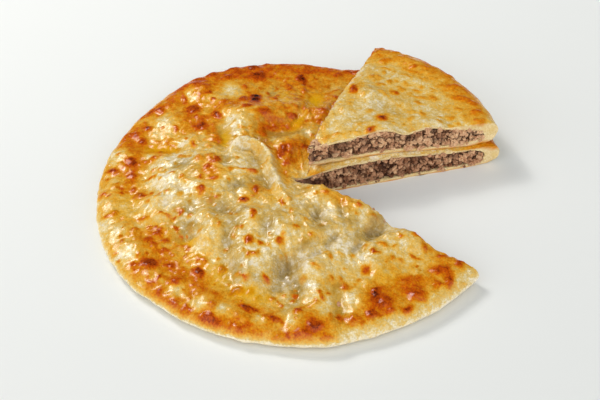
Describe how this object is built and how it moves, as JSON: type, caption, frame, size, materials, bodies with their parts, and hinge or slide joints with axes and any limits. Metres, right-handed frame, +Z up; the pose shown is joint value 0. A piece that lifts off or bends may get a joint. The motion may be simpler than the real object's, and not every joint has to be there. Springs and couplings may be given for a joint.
{
  "type": "ossetian pie",
  "caption": "Round flat pie of thin browned dough over minced meat, cut open: the main part, a wedge in its place and a wedge lifted onto it.",
  "frame": {"origin": "centre of the round pie on its flat underside", "axes": "+Z up out of the top crust, +X into the open sector where a wedge was taken out, angles from +X towards +Y"},
  "size_m": [0.3166, 0.3237, 0.0524],
  "materials": {
    "browned_crust": "baked dough brushed with butter, browned at the rim",
    "slice_crust": "baked dough, pale gold with brown spots",
    "minced_meat": "cooked minced meat, crumbly and moist"
  },
  "bodies": {
    "root": {"main_crust": "browned_crust", "main_filling": "minced_meat", "lower_slice_crust": "slice_crust", "lower_slice_filling": "minced_meat", "upper_slice_crust": "slice_crust", "upper_slice_filling": "minced_meat"}
  },
  "joints": []
}
